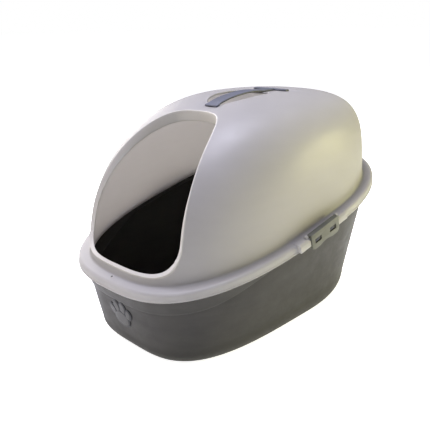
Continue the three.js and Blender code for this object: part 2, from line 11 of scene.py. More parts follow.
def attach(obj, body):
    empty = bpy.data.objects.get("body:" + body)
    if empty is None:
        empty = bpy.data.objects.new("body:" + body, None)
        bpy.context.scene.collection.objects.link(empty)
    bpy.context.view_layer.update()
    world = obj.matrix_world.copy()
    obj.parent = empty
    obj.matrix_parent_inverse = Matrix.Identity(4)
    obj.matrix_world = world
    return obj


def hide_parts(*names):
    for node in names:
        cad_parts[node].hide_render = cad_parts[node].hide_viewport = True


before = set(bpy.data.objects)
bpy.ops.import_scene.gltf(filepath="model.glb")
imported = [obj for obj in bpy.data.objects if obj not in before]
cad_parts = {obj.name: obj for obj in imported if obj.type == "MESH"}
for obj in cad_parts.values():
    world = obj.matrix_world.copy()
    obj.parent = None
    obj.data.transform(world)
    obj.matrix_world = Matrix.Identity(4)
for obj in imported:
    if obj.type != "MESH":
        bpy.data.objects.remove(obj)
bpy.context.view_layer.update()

# ------------------------------------------------------------------ sizes in mm, the same as in the CAD
MM = 0.001
LENGTH, WIDTH, HEIGHT = 560.0, 400.0, 391.0
FRONT_LENGTH, FRONT_ROUND, REAR_ROUND = 326.0, 2.86, 2.28
RIM_HEIGHT, RIM_SLOPE = 188.0, 0.218
WALL, GAP = 2.6, 0.3
SKIRT_HEIGHT, SKIRT_ROUND, LEDGE, FOOT_FILLET, APRON = 13.0, 4.5, 18.0, 3.5, 7.0
DOME_APEX_Y, DOME_FRONT, DOME_SIDE, DOME_REAR, DOME_DRAFT = 61.5, 2.1, 4.16, 4.47, 0.034
ENTRY_HALF_WIDTH, ENTRY_WIDEST, ENTRY_TOP, ENTRY_BOTTOM = 113.0, 205.0, 371.0, 157.0
LIP_TOP, LIP_SIDE, LIP_BOTTOM, LIP_SET_BACK = 18.0, 7.0, 3.0, 4.0
TRAY_TOP_INSET, TRAY_SIDE_INSET, TRAY_FRONT_INSET, TRAY_REAR_INSET = 11.6, 47.9, 33.5, 38.7
TRAY_FRONT_ROUND, TRAY_REAR_ROUND, FLOOR_ROUND = 3.59, 2.41, 42.0
FLARE_INSET, FLARE_STEP, FLARE_DEEP, FLARE_SHALLOW = 4.6, 1.6, 31.0, 7.0
FLARE_FROM_Y, FLARE_TO_Y = -215.0, -60.0
GRIP_FRONT_Y, GRIP_REAR_Y, GRIP_HALF, GRIP_THICK = -52.0, 108.0, 13.0, 3.2
GRIP_BAR_HALF, GRIP_BAR_LENGTH, GRIP_TOE_HALF, GRIP_TOE_LENGTH = 38.0, 11.0, 14.5, 9.0
GRIP_SUNK = 1.6  # depth of the shallow recess the grip lies in
HOLE_HALF, HOLE_FRONT_Y, HOLE_REAR_Y = 42.0, -47.0, 66.0
CLIP_HALF, CLIP_Y = 36.5, -3.0
BLOCK_LENGTH, BLOCK_PROUD = 25.0, 3.0
HINGE_INSET, HINGE_UP = 4.0, 2.6
WINDOW_HALF, WINDOW_SPREAD, WINDOW_HIGH = 8.25, 19.7, 7.8
NOTCH_BACK, NOTCH_HIGH = 13.0, 9.3  # how far the skirt's notches reach past the windows' middle, and up
CATCH_LENGTH, CATCH_HEIGHT, CATCH_CLEAR = 6.0, 4.6, 0.6
BADGE_Z, BADGE_PAD = 74.0, 15.0

FRONT_Y = -LENGTH / 2
WIDEST_Y = FRONT_Y + FRONT_LENGTH
REAR_LENGTH = LENGTH - FRONT_LENGTH
TILT = math.atan(RIM_SLOPE)
AROUND = 288
DOME_RINGS = 110


def rim_z(y):
    return RIM_HEIGHT + RIM_SLOPE * y


def smooth(t):
    t = np.clip(t, 0, 1)
    return t * t * (3 - 2 * t)


def spow(v, p):
    return np.sign(v) * np.abs(v) ** p


def plan(inset):
    return dict(side=WIDTH / 2 - inset, front=FRONT_LENGTH - inset, rear=REAR_LENGTH - inset,
                nf=FRONT_ROUND, nr=REAR_ROUND)


def outline(t, size):
    """Points of a rounded plan outline at the parameters t."""
    front = np.sin(t) < 0
    n = np.where(front, size["nf"], size["nr"])
    reach = np.where(front, size["front"], size["rear"])
    return size["side"] * spow(np.cos(t), 2 / n), WIDEST_Y + reach * spow(np.sin(t), 2 / n)


def even_parameters(count):
    fine = np.linspace(-math.pi / 2, math.pi / 2, 8001)
    x, y = outline(fine, plan(0))
    along = np.concatenate([[0], np.cumsum(np.hypot(np.diff(x), np.diff(y)))])
    right = np.interp(np.linspace(0, along[-1], count // 2 + 1), along, fine)
    return np.concatenate([right, (math.pi - right[1:-1])[::-1]])


T = even_parameters(AROUND)


def plan_ring(inset, above):
    x, y = outline(T, plan(inset))
    return np.stack([x, y, rim_z(y) + above], 1)


# ------------------------------------------------------------------ the dome
def squareness(dx, dy):
    c = dy / np.maximum(np.hypot(dx, dy), 1e-9)
    rear = np.maximum(c, 0) ** 2
    front = np.maximum(-c, 0) ** 2
    return DOME_SIDE + (DOME_REAR - DOME_SIDE) * rear + (DOME_FRONT - DOME_SIDE) * front


def dome_ring(inset, turn, top):
    x, y = outline(T, plan(inset))
    a = turn * math.pi / 2
    n = squareness(x, y - DOME_APEX_Y)
    r = (math.cos(a) ** n + math.sin(a) ** n) ** (-1 / n)
    rise = r * math.sin(a)
    reach = r * math.cos(a) * (1 - DOME_DRAFT * rise)
    foot = rim_z(y) + SKIRT_HEIGHT
    return np.stack([x * reach, DOME_APEX_Y + (y - DOME_APEX_Y) * reach, foot + (top - foot) * rise], 1)


def dome_height(x, y):
    x, y = np.broadcast_arrays(np.asarray(x, float) + 1e-4, np.asarray(y, float))
    size = plan(LEDGE)
    dx, dy = x, y - DOME_APEX_Y
    d = np.maximum(np.hypot(dx, dy), 1e-6)
    near, far = np.zeros_like(d), np.full_like(d, 4 * LENGTH)
    for _ in range(50):
        k = (near + far) / 2
        py = DOME_APEX_Y + dy / d * k - WIDEST_Y
        px = dx / d * k
        n = np.where(py < 0, size["nf"], size["nr"])
        reach = np.where(py < 0, size["front"], size["rear"])
        inside = np.abs(px / size["side"]) ** n + np.abs(py / reach) ** n < 1
        near, far = np.where(inside, k, near), np.where(inside, far, k)
    n = squareness(dx, dy)
    foot = rim_z(DOME_APEX_Y + dy / d * near) + SKIRT_HEIGHT
    rise = np.full_like(d, 0.5)
    for _ in range(14):
        reach = np.minimum(1, d / near / (1 - DOME_DRAFT * rise))
        rise = (1 - reach ** n) ** (1 / n)
    return foot + (HEIGHT - foot) * rise


def dome_front_y(x, z):
    front = np.full_like(x, FRONT_Y + LEDGE)
    back = np.full_like(x, DOME_APEX_Y - 5)
    for _ in range(40):
        y = (front + back) / 2
        low = dome_height(x, y) < z
        front, back = np.where(low, y, front), np.where(low, back, y)
    return (front + back) / 2


def dome_normal(x, y):
    dzx = (dome_height(x + 0.5, y) - dome_height(x - 0.5, y))
    dzy = (dome_height(x, y + 0.5) - dome_height(x, y - 0.5))
    n = np.stack([-dzx, -dzy, np.ones_like(dzx)], 1)
    return n / np.linalg.norm(n, axis=1)[:, None]


def box_distance(x, y, cx, cy, hx, hy, r):
    """Distance outside a rounded rectangle in plan, negative inside."""
    qx, qy = np.abs(x - cx) - hx + r, np.abs(y - cy) - hy + r
    return np.hypot(np.maximum(qx, 0), np.maximum(qy, 0)) + np.minimum(np.maximum(qx, qy), 0) - r


def sunk(x, y):
    """How far the recess round the grip lowers the dome's skin."""
    mid = (GRIP_FRONT_Y + GRIP_REAR_Y) / 2
    d = box_distance(x, y, 0, mid, GRIP_HALF + 4, (GRIP_REAR_Y - GRIP_FRONT_Y) / 2 + 3, 4)
    bar_y = GRIP_REAR_Y - GRIP_BAR_LENGTH / 2
    bar = box_distance(x, y, 0, bar_y, GRIP_BAR_HALF + 16, GRIP_BAR_LENGTH / 2 + 4, 4)
    toe_y = GRIP_FRONT_Y + GRIP_TOE_LENGTH / 2
    toe = box_distance(x, y, 0, toe_y, GRIP_TOE_HALF + 4, GRIP_TOE_LENGTH / 2 + 3, 4)
    d = np.minimum(np.minimum(d, bar), toe)
    return GRIP_SUNK * (1 - smooth((d + 0.5) / 7.0))


# ------------------------------------------------------------------ mesh helpers
def mesh_object(name, verts, faces, body, mat, angle=35, replaces=()):
    me = bpy.data.meshes.new(name)
    me.from_pydata((np.asarray(verts, float) * MM).tolist(), [], faces)
    me.update()
    o = bpy.data.objects.new(name, me)
    bpy.context.scene.collection.objects.link(o)
    finish_piece(o, body, mat, angle, replaces)
    return o


def finish_piece(o, body, mat, angle=35, replaces=()):
    bm = bmesh.new()
    bm.from_mesh(o.data)
    bmesh.ops.remove_doubles(bm, verts=bm.verts, dist=1e-6)
    bmesh.ops.recalc_face_normals(bm, faces=bm.faces)
    for f in bm.faces:
        f.smooth = True
    for e in bm.edges:
        e.smooth = len(e.link_faces) == 2 and e.calc_face_angle(0) < math.radians(angle)
    bm.to_mesh(o.data)
    bm.free()
    o.data.materials.clear()
    o.data.materials.append(mat)
    if body:
        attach(o, body)
    if replaces:
        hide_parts(*replaces)


def loft(rings, closed=True, loop=False):
    """Vertices and quads through rings of points; a ring of one point closes the end in a fan."""
    verts, faces, starts = [], [], []
    for ring in rings:
        starts.append(len(verts))
        verts.extend(np.asarray(ring, float).reshape(-1, 3))
    pairs = list(range(len(rings) - 1)) + ([len(rings) - 1] if loop else [])
    for i in pairs:
        j = (i + 1) % len(rings)
        a, b, na, nb = starts[i], starts[j], len(rings[i]), len(rings[j])
        count = max(na, nb)
        for k in range(count if closed else count - 1):
            m = (k + 1) % count
            if na == 1:
                faces.append((a, b + m, b + k))
            elif nb == 1:
                faces.append((a + k, a + m, b))
            else:
                faces.append((a + k, a + m, b + m, b + k))
    return np.array(verts), faces


def bake(o):
    """Turn the object's modifiers into its mesh."""
    bpy.context.view_layer.update()
    deps = bpy.context.evaluated_depsgraph_get()
    made = bpy.data.meshes.new_from_object(o.evaluated_get(deps))
    o.modifiers.clear()
    o.data = made


def cut(o, cutters):
    """Cut the other objects out of this one, and remove them."""
    for c in cutters:
        mod = o.modifiers.new("cut", "BOOLEAN")
        mod.operation = "DIFFERENCE"
        mod.solver = "EXACT"
        mod.object = c
    bake(o)
    for c in cutters:
        bpy.data.objects.remove(c)


def soften(o, width, segments=3, angle=30):
    """Small round on the edges of a piece."""
    mod = o.modifiers.new("soft", "BEVEL")
    mod.width = width * MM
    mod.segments = segments
    mod.limit_method = "ANGLE"
    mod.angle_limit = math.radians(angle)
    bake(o)


def raw_object(name, verts, faces):
    me = bpy.data.meshes.new(name)
    me.from_pydata((np.asarray(verts, float) * MM).tolist(), [], faces)
    bm = bmesh.new()
    bm.from_mesh(me)
    bmesh.ops.remove_doubles(bm, verts=bm.verts, dist=1e-6)
    bmesh.ops.recalc_face_normals(bm, faces=bm.faces)
    bm.to_mesh(me)
    bm.free()
    o = bpy.data.objects.new(name, me)
    bpy.context.scene.collection.objects.link(o)
    return o


def prism(name, *sections):
    """A solid through sections with the same number of points, capped at both ends."""
    verts, faces = loft(sections)
    n = len(sections[0])
    faces.append(tuple(range(n - 1, -1, -1)))
    faces.append(tuple(range(n * (len(sections) - 1), n * len(sections))))
    return raw_object(name, verts, faces)


def evenly(point_at, count):
    t = math.pi / 2 + 2 * math.pi * np.linspace(0, 1, 12001)
    u, v = point_at(t)
    along = np.concatenate([[0], np.cumsum(np.hypot(np.diff(u), np.diff(v)))])
    want = (np.arange(count) + 0.5) / count * along[-1]
    return np.interp(want, along, u), np.interp(want, along, v)


def tube(points, radius, sides=14):
    """A closed round bead along a closed path."""
    p = np.asarray(points, float)
    t = np.roll(p, -1, 0) - np.roll(p, 1, 0)
    t /= np.linalg.norm(t, axis=1)[:, None]
    up = np.cross(t, np.array([0.2, 0.3, 0.93]))
    up /= np.linalg.norm(up, axis=1)[:, None]
    side = np.cross(t, up)
    rings = [p + radius * (math.cos(a) * up + math.sin(a) * side)
             for a in np.linspace(0, 2 * math.pi, sides, endpoint=False)]
    return loft(rings, loop=True)


# ------------------------------------------------------------------ materials
def plastic(name, colour, second, rough=0.42, grain_depth=0.03, mottle=14.0, spec=0.45,
            dust=None, through=0.0):
    """Moulded plastic: fine surface grain, faint flow marks, scuffs that change the gloss."""
    m = bpy.data.materials.new(name)
    m.use_nodes = True
    nt = m.node_tree
    n, link = nt.nodes, nt.links.new
    b = n["Principled BSDF"]
    b.inputs["Specular IOR Level"].default_value = spec
    tc = n.new("ShaderNodeTexCoord")
    cloud = n.new("ShaderNodeTexNoise")
    cloud.inputs["Scale"].default_value = mottle
    cloud.inputs["Detail"].default_value = 5
    cloud.inputs["Roughness"].default_value = 0.6
    link(tc.outputs["Object"], cloud.inputs["Vector"])
    stretch = n.new("ShaderNodeMapping")
    stretch.inputs["Scale"].default_value = (3.0, 3.0, 16.0)
    link(tc.outputs["Object"], stretch.inputs["Vector"])
    flow = n.new("ShaderNodeTexNoise")
    flow.inputs["Scale"].default_value = 6
    flow.inputs["Detail"].default_value = 3
    link(stretch.outputs["Vector"], flow.inputs["Vector"])
    blend = n.new("ShaderNodeMath")
    blend.operation = "MULTIPLY_ADD"
    blend.inputs[1].default_value = 0.45
    link(flow.outputs["Fac"], blend.inputs[0])
    half = n.new("ShaderNodeMath")
    half.operation = "MULTIPLY"
    half.inputs[1].default_value = 0.55
    link(cloud.outputs["Fac"], half.inputs[0])
    link(half.outputs[0], blend.inputs[2])
    ramp = n.new("ShaderNodeValToRGB")
    ramp.color_ramp.elements[0].position = 0.36
    ramp.color_ramp.elements[0].color = (*second, 1)
    ramp.color_ramp.elements[1].position = 0.62
    ramp.color_ramp.elements[1].color = (*colour, 1)
    link(blend.outputs[0], ramp.inputs["Fac"])
    last = ramp.outputs["Color"]
    fine = n.new("ShaderNodeTexNoise")
    fine.inputs["Scale"].default_value = 900
    fine.inputs["Detail"].default_value = 2
    link(tc.outputs["Object"], fine.inputs["Vector"])
    if dust:
        speck = n.new("ShaderNodeTexNoise")
        speck.inputs["Scale"].default_value = 260
        speck.inputs["Detail"].default_value = 4
        speck.inputs["Roughness"].default_value = 0.75
        link(tc.outputs["Object"], speck.inputs["Vector"])
        lim = n.new("ShaderNodeMapRange")
        lim.inputs["From Min"].default_value = 0.60
        lim.inputs["From Max"].default_value = 0.78
        lim.inputs["To Max"].default_value = 0.35
        link(speck.outputs["Fac"], lim.inputs["Value"])
        mix = n.new("ShaderNodeMix")
        mix.data_type = "RGBA"
        link(lim.outputs["Result"], mix.inputs["Factor"])
        link(last, mix.inputs["A"])
        mix.inputs["B"].default_value = (*dust, 1)
        last = mix.outputs["Result"]
    link(last, b.inputs["Base Color"])
    scuff = n.new("ShaderNodeTexNoise")
    scuff.inputs["Scale"].default_value = 42
    scuff.inputs["Detail"].default_value = 8
    scuff.inputs["Roughness"].default_value = 0.7
    link(tc.outputs["Object"], scuff.inputs["Vector"])
    gloss = n.new("ShaderNodeMapRange")
    gloss.inputs["From Min"].default_value = 0.3
    gloss.inputs["From Max"].default_value = 0.7
    gloss.inputs["To Min"].default_value = rough - 0.07
    gloss.inputs["To Max"].default_value = rough + 0.09
    link(scuff.outputs["Fac"], gloss.inputs["Value"])
    link(gloss.outputs["Result"], b.inputs["Roughness"])
    bump = n.new("ShaderNodeBump")
    bump.inputs["Strength"].default_value = 0.5
    bump.inputs["Distance"].default_value = grain_depth * MM
    link(fine.outputs["Fac"], bump.inputs["Height"])
    wave = n.new("ShaderNodeBump")
    wave.inputs["Strength"].default_value = 0.35
    wave.inputs["Distance"].default_value = 0.25 * MM
    link(cloud.outputs["Fac"], wave.inputs["Height"])
    link(bump.outputs["Normal"], wave.inputs["Normal"])
    link(wave.outputs["Normal"], b.inputs["Normal"])
    if through:
        thin = n.new("ShaderNodeBsdfTranslucent")
        thin.inputs["Color"].default_value = (*colour, 1)
        both = n.new("ShaderNodeMixShader")
        both.inputs["Fac"].default_value = through
        link(b.outputs["BSDF"], both.inputs[1])
        link(thin.outputs["BSDF"], both.inputs[2])
        link(both.outputs["Shader"], n["Material Output"].inputs["Surface"])
    return m


M_HOOD = plastic("hood_plastic", (0.60, 0.585, 0.565), (0.56, 0.545, 0.525), rough=0.40, mottle=9,
                 through=0.58)
# Lighter copy of the hood plastic: painted highlight for the brightly lit entrance lip and the gate ring.
M_LIP_PAINTED_HIGHLIGHT = plastic("entry_edge_plastic_painted_highlight", (0.66, 0.635, 0.585), (0.62, 0.60, 0.55), rough=0.38, mottle=12,
                through=0.35)
M_TRAY = plastic("tray_plastic", (0.041, 0.039, 0.035), (0.034, 0.0325, 0.030), rough=0.55, grain_depth=0.06,
                 mottle=16, spec=0.14, dust=(0.070, 0.066, 0.060))
# Mid-grey plastic given a painted blue tint that stands for the skylight on its upward faces.
M_GRIP_PAINTED_SKYLIGHT = plastic("grip_plastic_painted_skylight", (0.080, 0.083, 0.093), (0.098, 0.104, 0.130), rough=0.45, mottle=30,
                 spec=0.25)
# Same mid-grey plastic as the grip, given a painted yellow tint that stands for the warm light on its side
# faces.
M_CLIP_PAINTED_SIDELIGHT = plastic("clip_plastic_painted_sidelight", (0.080, 0.081, 0.064), (0.096, 0.096, 0.078), rough=0.45, mottle=40,
                 spec=0.2)
# Black of the paw print, also used as painted shade behind the clip windows and in the gate mark.
M_BLACK_PRINT_AND_SHADE = plastic("badge_black_and_painted_shade", (0.012, 0.012, 0.013), (0.018, 0.018, 0.019), rough=0.4,
                  grain_depth=0.01, spec=0.12)
M_PAD = plastic("badge_pad", (0.033, 0.031, 0.029), (0.028, 0.027, 0.025), rough=0.4, grain_depth=0.01,
                mottle=60, spec=0.2)

# ------------------------------------------------------------------ hood
rings = [[[0, DOME_APEX_Y, HEIGHT - WALL]]]
for i in range(DOME_RINGS - 1, 0, -1):
    rings.append(dome_ring(LEDGE + WALL, i / DOME_RINGS, HEIGHT - WALL))
under = SKIRT_HEIGHT - WALL
for inset, above in ((LEDGE + WALL, under - APRON + 0.6), (LEDGE + WALL - 0.5, under - APRON),
                     (LEDGE + 0.5, under - APRON), (LEDGE, under - APRON + 0.6), (LEDGE, under - 0.6),
                     (LEDGE - 0.6, under), (WALL + 2.0, under), (WALL + 0.6, under - 0.5),
                     (WALL, under - 2.0), (WALL, 0.3), (WALL - 0.3, 0.0), (-0.5, 0.0), (-0.9, 0.4),
                     (-0.9, 1.5), (-0.6, 2.0), (0.0, 2.3)):
    rings.append(plan_ring(inset, above))
for a in np.radians(np.linspace(0, 90, 10)):
    rings.append(plan_ring(SKIRT_ROUND * (1 - math.cos(a)), SKIRT_HEIGHT - SKIRT_ROUND * (1 - math.sin(a))))
for a in np.radians(np.linspace(0, 72, 8)):
    inset = LEDGE - FOOT_FILLET * (1 - math.sin(a))
    rings.append(plan_ring(inset, SKIRT_HEIGHT + FOOT_FILLET * (1 - math.cos(a))))
for i in range(1, DOME_RINGS):
    turn = i / DOME_RINGS
    if turn * (HEIGHT - 200) > FOOT_FILLET:
        rings.append(dome_ring(LEDGE, turn, HEIGHT))
rings.append([[0, DOME_APEX_Y, HEIGHT]])
verts, faces = loft(rings)
high = verts[:, 2] > 330
verts[high, 2] -= sunk(verts[high, 0], verts[high, 1])


def entry_at(t):
    up = np.sin(t) > 0
    reach = np.where(up, ENTRY_TOP - ENTRY_WIDEST, ENTRY_WIDEST - ENTRY_BOTTOM)
    across, along = np.where(up, 2 / 4.4, 2 / 6.5), np.where(up, 2 / 1.3, 2 / 2.2)
    return ENTRY_HALF_WIDTH * spow(np.cos(t), across), ENTRY_WIDEST + reach * spow(np.sin(t), along)


def hole_at(t):
    n = np.where(np.sin(t) < 0, 2.0, 4.0)
    mid, half = (HOLE_FRONT_Y + HOLE_REAR_Y) / 2, (HOLE_REAR_Y - HOLE_FRONT_Y) / 2
    return HOLE_HALF * spow(np.cos(t), 2 / n), mid + half * spow(np.sin(t), 2 / n)


hood = mesh_object("hood_shell", verts, faces, None, M_HOOD)
ex, ez = evenly(entry_at, 420)
entry_cutter = prism("entry_cutter", np.stack([ex, np.full_like(ex, -400), ez], 1),
                     np.stack([ex, np.full_like(ex, -40), ez], 1))
hx, hy = evenly(hole_at, 200)
hole_cutter = prism("hole_cutter", np.stack([hx, hy, np.full_like(hx, 335.0)], 1),
                    np.stack([hx, hy, np.full_like(hx, 420.0)], 1))


def rim_point(out, x, v, u):
    return [out * x, CLIP_Y + u * math.cos(TILT) - v * math.sin(TILT),
            rim_z(CLIP_Y) + u * math.sin(TILT) + v * math.cos(TILT)]


# notches in the skirt for the tray's catches
notches = []
for out in (1, -1):
    for u in (-WINDOW_SPREAD, WINDOW_SPREAD):
        front, rear = u - WINDOW_HALF, u + NOTCH_BACK
        corners = ((front, -6), (rear, -6), (rear, NOTCH_HIGH), (front, NOTCH_HIGH))
        sections = [[rim_point(out, x, v, w) for w, v in corners] for x in (196.2, 207)]
        notches.append(prism(f"notch_{len(notches)}", *sections))
cut(hood, [entry_cutter, hole_cutter, *notches])
finish_piece(hood, "hood_body", M_HOOD, 40, ("hood",))

# rolled edge of the entrance and the lip that turns in from it
ey = dome_front_y(ex, ez)
ey = np.median([np.roll(ey, k) for k in range(-4, 5)], axis=0)
E = np.stack([ex, ey, ez], 1)
N = dome_normal(ex, ey)
N = np.median([np.roll(N, k, 0) for k in range(-6, 7)], axis=0)
N /= np.linalg.norm(N, axis=1)[:, None]
TAN = np.roll(E, -1, 0) - np.roll(E, 1, 0)
TAN /= np.linalg.norm(TAN, axis=1)[:, None]
B = np.cross(TAN, N)
B /= np.linalg.norm(B, axis=1)[:, None]
centre = np.array([0, -190.0, 260.0])
B *= np.sign(np.sum(B * (centre - E), axis=1))[:, None]
blend = smooth((ez - ENTRY_WIDEST + 40) / 80)
top_share = LIP_TOP / (ENTRY_TOP - ENTRY_WIDEST)
bottom_share = LIP_BOTTOM / (ENTRY_WIDEST - ENTRY_BOTTOM)
share = top_share * blend + bottom_share * (1 - blend)
inner_x = ex * (1 - LIP_SIDE / ENTRY_HALF_WIDTH)
inner = np.stack([inner_x, ey + LIP_SET_BACK, ez + (ENTRY_WIDEST - ez) * share], 1)
brow = E - N * WALL / 2
D = inner - brow
D /= np.linalg.norm(D, axis=1)[:, None]
M = np.cross(TAN, D)
M /= np.linalg.norm(M, axis=1)[:, None]
M *= np.sign(np.sum(M * N, axis=1))[:, None]
r = WALL / 2 + 0.35
profile = [E - N * 1.0 - B * 3.2, E - N * 0.35 - B * 2.6]
for a in np.radians(np.linspace(25, 150, 9)):
    profile.append(brow + r * (-math.cos(a) * B + math.sin(a) * N) - B * 0.3)
for s in (0.35, 0.7, 0.93):
    profile.append(brow + (inner - brow) * s + M * WALL / 2)
for a in np.radians(np.linspace(70, -70, 7)):
    profile.append(inner + WALL / 2 * (math.sin(a) * M + math.cos(a) * D) - D * WALL / 2)
for s in (0.93, 0.6, 0.3):
    profile.append(brow + (inner - brow) * s - M * WALL / 2)
profile += [E - N * (WALL + 0.15) - B * 1.0, E - N * (WALL - 0.4) - B * 3.2]
verts, faces = loft(profile, loop=True)
# The lip uses the lighter plastic, a painted highlight on its lit face.
mesh_object("entrance_lip", verts, faces, "hood_body", M_LIP_PAINTED_HIGHLIGHT, 50)

# rolled edge of the hand hole
hz = dome_height(hx, hy) - sunk(hx, hy) - WALL / 2
verts, faces = tube(np.stack([hx, hy, hz], 1), WALL / 2 + 0.25)
mesh_object("hand_hole_edge", verts, faces, "hood_body", M_HOOD, 60)


def skirt_x(y):
    s = plan(0)
    front = y < WIDEST_Y
    n, reach = (s["nf"], s["front"]) if front else (s["nr"], s["rear"])
    return s["side"] * (1 - abs((y - WIDEST_Y) / reach) ** n) ** (1 / n)


# skirt blocks beside the clips, and the lugs that hold their pins
FACE_X = WIDTH / 2
for out, side in ((1, "right"), (-1, "left")):
    for end, place in ((-1, "front"), (1, "rear")):
        u0 = end * (CLIP_HALF + 0.8)
        steps = 14
        sections = []
        for i in range(steps + 1):
            u = u0 + end * BLOCK_LENGTH * i / steps
            face = skirt_x(CLIP_Y + u * math.cos(TILT))
            proud = FACE_X + BLOCK_PROUD
            section = [(face - 1.4, 0.2), (proud, 0.2), (proud, SKIRT_HEIGHT - 3.4),
                       (proud - 3.4, SKIRT_HEIGHT + 0.5), (face - 9, SKIRT_HEIGHT + 0.5),
                       (face - 9, SKIRT_HEIGHT - 1.2), (face - 4.5, SKIRT_HEIGHT - 1.3)]
            sections.append([rim_point(out, x, v, u) for x, v in section])
        o = prism(f"skirt_block_{side}_{place}", *sections)
        soften(o, 0.9, 3, 25)
        finish_piece(o, "hood_body", M_HOOD, 40)
        hinge_x, hinge_v = FACE_X - HINGE_INSET, SKIRT_HEIGHT + HINGE_UP
        arc = [(hinge_x + 3.2 * math.cos(a), hinge_v + 3.0 * math.sin(a))
               for a in np.radians(np.linspace(180, 0, 13))]
        lug = [(hinge_x - 3.2, SKIRT_HEIGHT - 1), *arc, (hinge_x + 3.2, SKIRT_HEIGHT - 1)]
        sections = [[rim_point(out, x, v, u0 + end * along) for x, v in lug] for along in (0.3, 4.3)]
        o = prism(f"hinge_lug_{side}_{place}", *sections)
        soften(o, 0.5, 2, 40)
        finish_piece(o, "hood_body", M_HOOD, 40)


# gate mark on the front ledge: a small raised ring with a dimple, in the lighter lip plastic as painted
# highlight; a black disc over the dimple is painted shade standing for a small hole
def ledge_disc(name, profile, mat):
    """A turned shape on the front ledge, from its radii and heights."""
    y0 = FRONT_Y + 11.0
    z0 = rim_z(y0) + SKIRT_HEIGHT
    a = np.linspace(0, 2 * math.pi, 32, endpoint=False)
    rings = [np.stack([r * np.cos(a), y0 + r * np.sin(a), z0 + RIM_SLOPE * r * np.sin(a) + h], 1)
             for r, h in profile]
    verts, faces = loft(rings)
    mesh_object(name, verts, faces, "hood_body", mat, 60)


ledge_disc("gate_mark", ((0.01, -0.5), (0.9, -0.5), (1.3, 0.35), (1.8, 0.75), (2.4, 0.8), (2.9, 0.4),
                         (3.1, -0.4)), M_LIP_PAINTED_HIGHLIGHT)
ledge_disc("gate_mark_painted_hole_shade", ((0.01, 0.8), (1.2, 0.85), (1.65, 0.75), (1.8, -0.5)), M_BLACK_PRINT_AND_SHADE)

# ------------------------------------------------------------------ tray
FLOOR_SHARE = FLOOR_ROUND / RIM_HEIGHT


def mix(a, b, t):
    return a + (b - a) * t


def tray_size(share, inset):
    down = np.clip((1 - share) / (1 - FLOOR_SHARE), 0, 1)
    return dict(side=WIDTH / 2 - mix(TRAY_TOP_INSET, TRAY_SIDE_INSET, down) - inset,
                front=FRONT_LENGTH - mix(TRAY_TOP_INSET, TRAY_FRONT_INSET, down) - inset,
                rear=REAR_LENGTH - mix(TRAY_TOP_INSET, TRAY_REAR_INSET, down) - inset,
                nf=mix(FRONT_ROUND, TRAY_FRONT_ROUND, down), nr=mix(REAR_ROUND, TRAY_REAR_ROUND, down))


def wall_ring(share, inset, lift=0.0):
    x, y = outline(T, tray_size(share, inset))
    return np.stack([x, y, rim_z(y) * share + lift], 1)


def flare_depth(y):
    return mix(FLARE_DEEP, FLARE_SHALLOW, smooth((y - FLARE_FROM_Y) / (FLARE_TO_Y - FLARE_FROM_Y)))


def flare_ring(climb, inset, step):
    _, ry = outline(T, plan(TRAY_TOP_INSET))
    share = 1 - flare_depth(ry) / rim_z(ry)
    lx, ly = outline(T, tray_size(share, inset - step))
    px, py = outline(T, plan(FLARE_INSET + inset))
    y = mix(ly, py, climb)
    return np.stack([mix(lx, px, climb), y, rim_z(y) - flare_depth(ry) * (1 - climb)], 1)


def flare_shift(ring, dz):
    ring = ring.copy()
    ring[:, 2] += dz
    return ring


rings = [[[0, WIDEST_Y, 0]]]
for k in (0.3, 0.6, 0.85):
    rings.append(mix(np.array([[0, WIDEST_Y, 0]]), wall_ring(0, FLOOR_ROUND), k))
for a in np.radians(np.linspace(0, 90, 16)):
    rings.append(wall_ring(FLOOR_SHARE * (1 - math.cos(a)), FLOOR_ROUND * (1 - math.sin(a))))
for s in np.linspace(FLOOR_SHARE + 0.06, 0.72, 12):
    rings.append(wall_ring(s, 0))
low = flare_ring(0, 0, 0)
rings += [flare_shift(low, -2.2), flare_shift(low, -0.3), flare_shift(flare_ring(0, 0, 0.25), 0.25),
          flare_shift(flare_ring(0, 0, FLARE_STEP - 0.3), 0.35), flare_ring(0.03, 0, FLARE_STEP)]
for c in (0.12, 0.3, 0.5, 0.75, 0.95, 1.0):
    rings.append(flare_ring(c, 0, FLARE_STEP))
top = SKIRT_HEIGHT - WALL - GAP
rings += [plan_ring(FLARE_INSET, 1.0), plan_ring(FLARE_INSET, top - 0.6), plan_ring(FLARE_INSET + 0.6, top),
          plan_ring(FLARE_INSET + WALL - 0.6, top), plan_ring(FLARE_INSET + WALL, top - 0.6)]
for c in (1.0, 0.75, 0.5, 0.3, 0.12, 0.03):
    rings.append(flare_ring(c, WALL, FLARE_STEP))
rings += [flare_shift(flare_ring(0, WALL, step), shift)
          for step, shift in ((FLARE_STEP - 0.3, 0.35), (0.25, 0.25), (0, -0.3), (0, -2.2))]
for s in np.linspace(0.72, FLOOR_SHARE + 0.06, 12):
    rings.append(wall_ring(s, WALL))
inner_round = FLOOR_ROUND - WALL
for a in np.radians(np.linspace(90, 0, 16)):
    inset = WALL + inner_round * (1 - math.sin(a))
    rings.append(wall_ring(FLOOR_SHARE * (1 - math.cos(a)), inset, WALL * math.cos(a)))
for k in (0.85, 0.6, 0.3):
    rings.append(mix(np.array([[0, WIDEST_Y, WALL]]), wall_ring(0, WALL + inner_round, WALL), k))
rings.append([[0, WIDEST_Y, WALL]])
verts, faces = loft(rings)
mesh_object("tray_shell", verts, faces, "tray_body", M_TRAY, 50, ("tray",))

